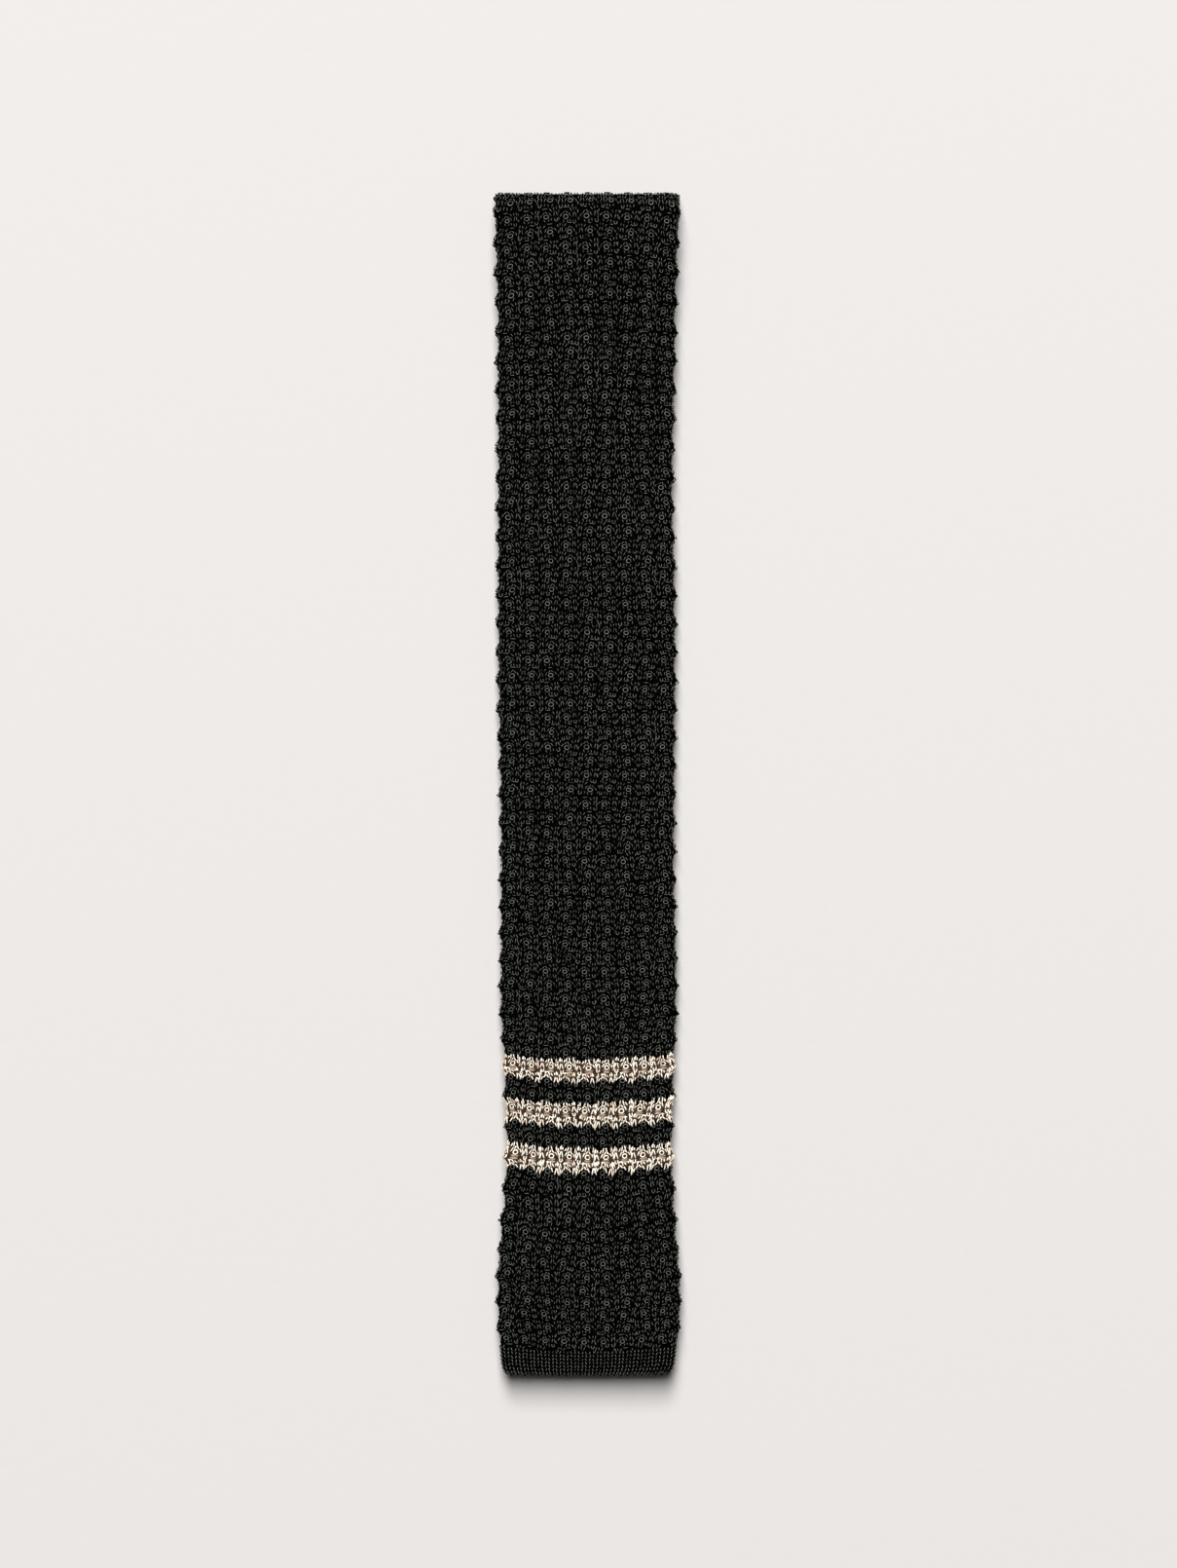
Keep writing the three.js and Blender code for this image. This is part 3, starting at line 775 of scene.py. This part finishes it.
def knitting_tree():
    tree = Tree("knit_rows", {
        "Stitch": "NodeSocketObject",
        "Mirrored stitch": "NodeSocketObject",
        "Columns": "NodeSocketInt",
        "Rows": "NodeSocketInt",
        "First row": "NodeSocketInt",
        "Column width": "NodeSocketFloat",
        "Row height": "NodeSocketFloat",
        "Zigzag": "NodeSocketFloat",
        "Unevenness": "NodeSocketFloat",
        "Seed": "NodeSocketInt",
        "Silk": "NodeSocketMaterial",
    })
    columns = tree.value("Columns")
    rows = tree.value("Rows")
    width = tree.maths("MULTIPLY", tree.maths("SUBTRACT", columns, 1.0), tree.value("Column width"))
    height = tree.maths("MULTIPLY", tree.maths("SUBTRACT", rows, 1.0), tree.value("Row height"))
    grid = tree.node("GeometryNodeMeshGrid", None, {
        "Size X": width, "Size Y": height, "Vertices X": columns, "Vertices Y": rows})
    position = tree.node("GeometryNodeInputPosition")
    y = tree.node("ShaderNodeSeparateXYZ", None, {0: position}, output=1)
    from_first = tree.maths("ADD", y, tree.maths("MULTIPLY", height, 0.5))
    counted = tree.maths("ROUND", tree.maths("DIVIDE", from_first, tree.value("Row height")))
    row = tree.maths("ADD", counted, tree.value("First row"))
    odd = tree.maths("FLOORED_MODULO", row, 2.0)
    sideways = tree.maths("MULTIPLY", odd, tree.value("Zigzag"))
    first_up = tree.maths("MULTIPLY", tree.value("First row"), tree.value("Row height"))
    upward = tree.maths("ADD", first_up, tree.maths("MULTIPLY", height, 0.5))
    offset = tree.node("ShaderNodeCombineXYZ", None, {0: sideways, 1: upward})
    kept = tree.node("GeometryNodeStoreNamedAttribute", {"data_type": "FLOAT", "domain": "POINT"}, {
        "Geometry": grid, "Name": "odd", "Value": odd})
    moved_up = tree.node("GeometryNodeSetPosition", None, {"Geometry": kept, "Offset": offset})
    placed = tree.node("GeometryNodeStoreNamedAttribute", {"data_type": "FLOAT", "domain": "POINT"}, {
        "Geometry": moved_up, "Name": "seat", "Value": y})
    odd_row = tree.node("GeometryNodeInputNamedAttribute", {"data_type": "FLOAT"}, {"Name": "odd"})
    uneven = tree.value("Unevenness")
    seed = tree.value("Seed")

    def spread(sizes, extra):
        """A random vector of up to these sizes each way, times the unevenness."""
        shaken = tree.node("FunctionNodeRandomValue", {"data_type": "FLOAT_VECTOR"}, {
            0: [-size for size in sizes], 1: sizes,
            "Seed": tree.maths("ADD", seed, extra)})
        return tree.node("ShaderNodeVectorMath", {"operation": "SCALE"}, {0: shaken, "Scale": uneven})

    joined = tree.tree.nodes.new("GeometryNodeJoinGeometry")
    for label, wanted in (("Stitch", 0.0), ("Mirrored stitch", 1.0)):
        chosen = tree.node("FunctionNodeCompare", {"data_type": "FLOAT", "operation": "EQUAL"}, {
            0: odd_row, 1: wanted, "Epsilon": 0.1})
        kit = tree.node("GeometryNodeObjectInfo", None, {"Object": tree.value(label)}, output=4)
        size = tree.node("ShaderNodeVectorMath", {"operation": "ADD"}, {
            0: spread((0.12, 0.12, 0.16), 1.0), 1: (1.0, 1.0, 1.0)})
        copies = tree.node("GeometryNodeInstanceOnPoints", None, {
            "Points": placed, "Selection": chosen, "Instance": kit, "Scale": size})
        turned = tree.node("GeometryNodeRotateInstances", None, {
            "Instances": copies, "Rotation": spread((0.06, 0.06, 0.16), 2.0)})
        moved = tree.node("GeometryNodeTranslateInstances", None, {
            "Instances": turned, "Translation": spread((0.16, 0.14, 0.05), 3.0)})
        tree.tree.links.new(moved, joined.inputs[0])
    real = tree.node("GeometryNodeRealizeInstances", None, {"Geometry": joined.outputs[0]})
    dyed = tree.node("GeometryNodeSetMaterial", None, {
        "Geometry": real, "Material": tree.value("Silk")})
    tree.tree.links.new(dyed, tree.output.inputs[0])
    return tree.tree


KNIT_ROWS = knitting_tree()
print("the knitting tree has", len(KNIT_ROWS.nodes), "nodes")

# %% [markdown]
# The tree is run once for each stretch of knit. Its result is read as plain arrays, laid over the
# tie, and kept as one or more pieces. The colour changes between courses, not along a straight cut,
# so each whole loop goes to the silk of the course that it belongs to.

# %% Knitting a stretch and laying it over the cloth
def knit_flat(kit, columns, first_row, rows, width, height, zigzag, uneven, seed, silk):
    """The flat knit of one stretch as a mesh, with its loops' courses."""
    host = bpy.data.objects.new("knit_host", bpy.data.meshes.new("knit_host"))
    bpy.context.scene.collection.objects.link(host)
    modifier = host.modifiers.new("knit", "NODES")
    modifier.node_group = KNIT_ROWS
    values = {
        "Stitch": kit[0], "Mirrored stitch": kit[1], "Columns": columns, "Rows": rows,
        "First row": first_row, "Column width": width, "Row height": height, "Zigzag": zigzag,
        "Unevenness": uneven, "Seed": seed, "Silk": silk,
    }
    for item in KNIT_ROWS.interface.items_tree:
        if item.in_out == "INPUT":
            modifier[item.identifier] = values[item.name]
    evaluated = host.evaluated_get(bpy.context.evaluated_depsgraph_get())
    mesh = bpy.data.meshes.new_from_object(evaluated)
    host.modifiers.clear()
    bpy.data.objects.remove(host)
    return mesh


def read_knit(mesh):
    """The corners, faces, UV and courses of a flat knit as arrays."""
    corners = np.empty(len(mesh.vertices) * 3, dtype=np.float32)
    mesh.vertices.foreach_get("co", corners)
    loops = np.empty(len(mesh.loops), dtype=np.int32)
    mesh.loops.foreach_get("vertex_index", loops)
    totals = np.empty(len(mesh.polygons), dtype=np.int32)
    mesh.polygons.foreach_get("loop_total", totals)
    uv = np.empty(len(mesh.loops) * 2, dtype=np.float32)
    mesh.uv_layers["UVMap"].data.foreach_get("uv", uv)
    courses = np.zeros(len(mesh.vertices), dtype=np.float32)
    for name in ("seat", "course"):
        part = np.zeros(len(mesh.vertices), dtype=np.float32)
        mesh.attributes[name].data.foreach_get("value", part)
        courses += part
    return corners.reshape(-1, 3).astype(float), loops, totals, uv.reshape(-1, 2), courses.astype(float)


def knit_piece(name, knit, places, keep_corner, silk):
    """A piece from the faces of a knit whose corners are all kept."""
    corners, loops, totals, uv, courses = knit
    starts = np.concatenate([[0], np.cumsum(totals)[:-1]])
    keep = keep_corner[loops[starts]]
    kept_loops = np.repeat(keep, totals)
    used, loops = np.unique(loops[kept_loops], return_inverse=True)
    piece = mesh_piece(name, places[used], loops, totals[keep], silk, uv[kept_loops])
    triangles = int((totals[keep] - 2).sum())
    print(name, "has", triangles, "triangles")
    return piece


# distance from the hem, drift of the columns in columns
COLUMN_DRIFT = np.array([[0.0, -0.25], [95.0, -0.25], [215.0, 0.0]])
EDGE_COLUMN = 4.66


def column_width(distance):
    """On the face the columns follow the width, and past the fold they keep their own."""
    follow = (face_run(distance) + EDGE_RUN / 2) / EDGE_COLUMN
    return blend(follow, CELL_WIDTH, eased((distance - LEG_START["top_fold"]) / 30.0))


def lay_on_face(corners):
    distance = distance_of(corners[:, 1] / CELL_HEIGHT / 2)
    drift = np.interp(distance, COLUMN_DRIFT[:, 0], COLUMN_DRIFT[:, 1])
    ripple = 0.12 * np.sin(corners[:, 1] / 7.3 + corners[:, 0] / 9.1)
    around = (corners[:, 0] / CELL_WIDTH + drift) * column_width(distance) + ripple
    return tube_point(distance, around, corners[:, 2])


print("stretch helpers ready")

# %% [markdown]
# The face of the wide blade is the part that shows. Eleven columns reach from under one side edge
# to under the other. It is kept as pieces of under 200,000 triangles each.

# %% The face of the wide blade
FACE_COLUMNS = 11
HEM_HEIGHT = 7.3
ZIGZAG = 1.15
STRIPE_ROWS = [(16.0, 17.47), (19.0, 20.47), (22.0, 23.47)]


def in_stripe(courses):
    """Whether a loop belongs to a course of pale silk."""
    half_rows = courses / CELL_HEIGHT
    return np.any([(half_rows > low) & (half_rows <= high) for low, high in STRIPE_ROWS], axis=0)


FACE_START = repeats_at(HEM_HEIGHT) * 2
FACE_END = repeats_at(LEG_START["wide_back"] + 8.0) * 2
first_row = math.floor(FACE_START)
face_rows = math.ceil(FACE_END) - first_row + 1
flat_face = read_knit(knit_flat(
    FINE_KIT, FACE_COLUMNS, first_row, face_rows, CELL_WIDTH, CELL_HEIGHT, ZIGZAG, 1.0, 11, DARK_YARN))
face_places = lay_on_face(flat_face[0])
half_rows = flat_face[4] / CELL_HEIGHT
dark = ~in_stripe(flat_face[4]) & (half_rows > FACE_START) & (half_rows < FACE_END)
FACE_CUTS = [FACE_START, 34.0, 59.0, FACE_END]
face_pieces = []
for number, (low, high) in enumerate(zip(FACE_CUTS[:-1], FACE_CUTS[1:])):
    inside = dark & (half_rows > low) & (half_rows <= high)
    name = f"face_stitches_{number + 1}"
    face_pieces.append(knit_piece(name, flat_face, face_places, inside, DARK_YARN))

# %% [markdown]
# The three pale stripes are the same knit in a beige silk. Their yarn looks thicker, because it
# shows its whole width and not only its gloss, and dull yarn shows under each ring.

# %% The stripes
STRIPE_FIRST_ROW = 15
STRIPE_ROW_COUNT = 10
flat_stripes = read_knit(knit_flat(
    STRIPE_KIT, FACE_COLUMNS, STRIPE_FIRST_ROW, STRIPE_ROW_COUNT,
    CELL_WIDTH, CELL_HEIGHT, ZIGZAG, 1.0, 23, LIGHT_YARN))
stripe_stitches = knit_piece(
    "stripe_stitches", flat_stripes, lay_on_face(flat_stripes[0]),
    in_stripe(flat_stripes[4]), LIGHT_YARN)
flat_patches = read_knit(knit_flat(
    PATCH_KIT, FACE_COLUMNS, STRIPE_FIRST_ROW, STRIPE_ROW_COUNT,
    CELL_WIDTH, CELL_HEIGHT, ZIGZAG, 0.8, 23, PATCH))
stripe_patches = knit_piece(
    "stripe_patches", flat_patches, lay_on_face(flat_patches[0]), in_stripe(flat_patches[4]), PATCH)
SLEEVE_RISE = 0.05
SLEEVE_INSET = (0.12, 0.22)
# Each stripe gets a sleeve of ground in the dark brown of painted shade, which shows through the holes
# between the pale loops.
stripe_grounds = []
for number, (low, high) in enumerate(STRIPE_ROWS):
    start, end = distance_of(np.array([low + SLEEVE_INSET[0], high - SLEEVE_INSET[1]]) / 2)
    shaded_sleeve = tube_body(f"stripe_ground_{number + 1}", start, end, PAINTED_SHADE_STRIPE_GROUND, extra=SLEEVE_RISE)
    stripe_grounds.append(shaded_sleeve)

# %% [markdown]
# The hem at the wide end is plain knitting: columns of small letters V. The tree above makes it too,
# from a kit of two legs, and a row of end loops closes it. The narrow end has the same hem.

# %% The hems
V_WIDTH = CELL_WIDTH / 2.6
V_HEIGHT = 1.07
V_RADIUS = 0.19
END_RADIUS = 0.33
HEM_COLUMNS = 49
HEM_ROWS = 7
END_COLUMNS = 23
HEM_START = 0.5
V_LEG = [(-0.14, -0.34, -0.30), (-0.08, -0.14, 0.28), (0.08, 0.14, 0.28), (0.12, 0.34, -0.30)]
END_LOOP = [(-0.70, 0.45, -0.20), (-0.60, -0.14, -0.40), (0.0, -0.62, -0.50), (0.60, -0.14, -0.40),
            (0.70, 0.45, -0.20)]


def yarn_kit(name, paths, radius, spin=0.0):
    """A few yarns along given paths as one small mesh."""
    corners, faces, uv = [], [], []
    for yarn_path in paths:
        made, quads, coords = tube(yarn_path, radius, 5, spin=spin)
        base = sum(len(part) for part in corners)
        faces += [tuple(base + corner for corner in face) for face in quads]
        corners.append(made)
        uv += coords
    mesh = bpy.data.meshes.new(name)
    mesh.from_pydata(np.concatenate(corners).tolist(), [], faces)
    mesh.uv_layers.new(name="UVMap").data.foreach_set("uv", np.array(uv, dtype=np.float32).ravel())
    mesh.attributes.new("course", "FLOAT", "POINT")
    kit = bpy.data.objects.new(name, mesh)
    bpy.context.scene.collection.objects.link(kit)
    return kit


v_legs = [[(side * (V_WIDTH / 4 + x), y, z) for x, y, z in V_LEG] for side in (-1, 1)]
V_KIT = [yarn_kit("v_kit", v_legs, V_RADIUS)] * 2
END_KIT = [yarn_kit("end_loop_kit", [END_LOOP], END_RADIUS, spin=0.5)] * 2


def lay_hem(corners):
    distance = corners[:, 1] + HEM_START
    around = corners[:, 0] / CELL_WIDTH * column_width(distance)
    return tube_point(distance, around, corners[:, 2])


flat_hem = read_knit(knit_flat(
    V_KIT, HEM_COLUMNS, 0, HEM_ROWS, V_WIDTH, V_HEIGHT, 0.0, 0.5, 5, DARK_YARN))
whole_hem = np.ones(len(flat_hem[0]), bool)
hem_stitches = knit_piece(
    "wide_hem_stitches", flat_hem, lay_hem(flat_hem[0]), whole_hem, DARK_YARN)
flat_ends = read_knit(knit_flat(
    END_KIT, END_COLUMNS, 0, 1, V_WIDTH, V_HEIGHT, 0.0, 0.8, 3, DARK_YARN))
whole_row = np.ones(len(flat_ends[0]), bool)
end_loops = knit_piece(
    "wide_hem_end_loops", flat_ends, lay_hem(flat_ends[0]), whole_row, DARK_YARN)

# %% [markdown]
# The back of the wide blade lies on the table, and the rest of the tie shows only in the gap between
# the layers. Their loops are made with fewer points and fewer short yarns, and lie a little lower.

# %% The back of the wide blade
BACK_RELIEF = 0.62
NECK_OVERLAP = 6.0


def lay_low(corners):
    lowered = corners * (1.0, 1.0, BACK_RELIEF)
    return lay_on_face(lowered)


BACK_START = FACE_END
BACK_END = repeats_at(LEG_START["neck_side"] + NECK_OVERLAP) * 2
first_back = math.floor(BACK_START)
back_rows = math.ceil(BACK_END) - first_back + 1
flat_back = read_knit(knit_flat(
    PLAIN_KIT, FACE_COLUMNS, first_back, back_rows,
    CELL_WIDTH, CELL_HEIGHT, ZIGZAG, 0.8, 31, DARK_YARN))
back_half_rows = flat_back[4] / CELL_HEIGHT
back_places = lay_low(flat_back[0])
BACK_CUTS = [BACK_START, (BACK_START + BACK_END) / 2, BACK_END]
back_pieces = []
for number, (low, high) in enumerate(zip(BACK_CUTS[:-1], BACK_CUTS[1:])):
    inside = (back_half_rows > low) & (back_half_rows <= high)
    name = f"back_stitches_{number + 1}"
    back_pieces.append(knit_piece(name, flat_back, back_places, inside, DARK_YARN))

# %% [markdown]
# Of the two inner layers only the side edges can be seen. Two strips of loops, one over each edge,
# follow them.

# %% The edges of the inner layers
def edge_strips(name, start, end, columns, seed):
    rows = (repeats_at(start) * 2, repeats_at(end) * 2)
    first = math.floor(rows[0])
    count = math.ceil(rows[1]) - first + 1
    flat = read_knit(knit_flat(
        PLAIN_KIT, 2, first, count, 2 * CELL_WIDTH, CELL_HEIGHT, 0.0, 0.8, seed, DARK_YARN))
    corners = flat[0] * (1.0, 1.0, BACK_RELIEF)
    distance = distance_of(corners[:, 1] / CELL_HEIGHT / 2)
    side = np.where(corners[:, 0] > 0.5 * CELL_WIDTH / 2, 1.0, -1.0)
    middle = face_run(distance) + EDGE_RUN / 2
    around = side * middle + (corners[:, 0] - side * CELL_WIDTH) * middle / columns / CELL_WIDTH
    half = flat[4] / CELL_HEIGHT
    inside = (half > rows[0]) & (half <= rows[1])
    return knit_piece(name, flat, tube_point(distance, around, corners[:, 2]), inside, DARK_YARN)


neck_edges = edge_strips(
    "neck_edge_stitches", LEG_START["neck_side"] + NECK_OVERLAP, LEG_START["inner_fold"], 3, 41)
narrow_edges = edge_strips(
    "narrow_edge_stitches", LEG_START["inner_fold"], TIE_LENGTH - HEM_HEIGHT, 4, 43)

# %% [markdown]
# The narrow end has plain V stitches all round, because its end shows under the wide hem.

# %% The narrow hem
NARROW_HEM_COLUMNS = 38
NARROW_HEM_ROWS = 6
NARROW_HEM_START = 0.6


def lay_narrow_hem(corners):
    distance = TIE_LENGTH - NARROW_HEM_START - corners[:, 1]
    return tube_point(distance, corners[:, 0], corners[:, 2] * BACK_RELIEF)


flat_narrow = read_knit(knit_flat(
    V_KIT, NARROW_HEM_COLUMNS, 0, NARROW_HEM_ROWS, V_WIDTH, V_HEIGHT, 0.0, 0.5, 7, DARK_YARN))
narrow_hem = knit_piece(
    "narrow_hem_stitches", flat_narrow, lay_narrow_hem(flat_narrow[0]),
    np.ones(len(flat_narrow[0]), bool), DARK_YARN)

# %% [markdown]
# The kits and the flat knits have done their work. Only laid pieces stay in the scene.

# %% Clearing the workbench
for kit in FINE_KIT + PLAIN_KIT + STRIPE_KIT + PATCH_KIT + V_KIT[:1] + END_KIT[:1]:
    bpy.data.objects.remove(kit)

# %% [markdown]
# Each piece rides on the one body of the tie and stands for the solids that it covers, which are
# hidden. The ground is a flat tube, flat before the tie was folded, with the loops as pieces on it;
# its area laid out flat is worked out below.

# %% Hanging the pieces on the tie's body
DARK_NODES = [
    "wide_end_hem", "wide_blade_tip", "blade_band_lower", "blade_band_upper", "wide_blade",
    "neck_band", "narrow_blade", "narrow_end_hem",
]
STRIPE_NODES = ["stripe_lower", "stripe_middle", "stripe_upper"]
dark_pieces = [
    ground, hem_stitches, end_loops, *face_pieces, *back_pieces, neck_edges, narrow_edges, narrow_hem]
light_pieces = [stripe_stitches, stripe_patches, *stripe_grounds]
for piece in dark_pieces:
    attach(piece, "root")
for piece in light_pieces:
    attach(piece, "root")
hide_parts(*DARK_NODES)
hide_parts(*STRIPE_NODES)

widths = 2 * cloth_at(LINE_DISTANCE)[0] * MM
flat_area = float(np.sum(widths[1:] * np.diff(LINE_DISTANCE) * MM))
print("flat area of the tie:", round(flat_area, 4), "square metres")

# %% [markdown]
# The table is a plain pale sheet, and the light is soft and comes mostly from beyond the top of the
# tie. A large softbox there gives the short shadow under the hem; the dome fills the rest.

# %% Table and light
FLOOR_SIZE = 4.0
floor_finish = Finish("pale_table")
grain = floor_finish.noise(3.0, 4.0)
TABLE_FINISH = floor_finish.close({
    "Base Color": floor_finish.mixed(grain, (0.536, 0.516, 0.500, 1), (0.552, 0.532, 0.516, 1)),
    "Roughness": 0.85,
    "Specular IOR Level": 0.2,
})
floor_mesh = bpy.data.meshes.new("table_top")
reach = FLOOR_SIZE / 2
floor_mesh.from_pydata([(-reach, -reach, 0), (reach, -reach, 0), (reach, reach, 0), (-reach, reach, 0)],
                       [], [(0, 1, 2, 3)])
floor_mesh.materials.append(TABLE_FINISH)
floor = bpy.data.objects.new("table_top", floor_mesh)
bpy.context.scene.collection.objects.link(floor)


def softbox(name, place, size, power):
    data = bpy.data.lights.new(name, "AREA")
    data.shape = "RECTANGLE"
    data.size, data.size_y = size
    data.energy = power
    light = bpy.data.objects.new(name, data)
    light.location = place
    aim = -light.location
    light.rotation_euler = aim.to_track_quat("-Z", "Y").to_euler()
    light.visible_camera = False
    bpy.context.scene.collection.objects.link(light)
    return light


softbox("window_light", (-0.40, 3.70, 7.00), (2.8, 6.2), 1175.0)
world = bpy.data.worlds.new("dome")
world.use_nodes = True
world.node_tree.nodes["Background"].inputs["Color"].default_value = (1.0, 0.985, 0.97, 1)
world.node_tree.nodes["Background"].inputs["Strength"].default_value = 0.08
bpy.context.scene.world = world
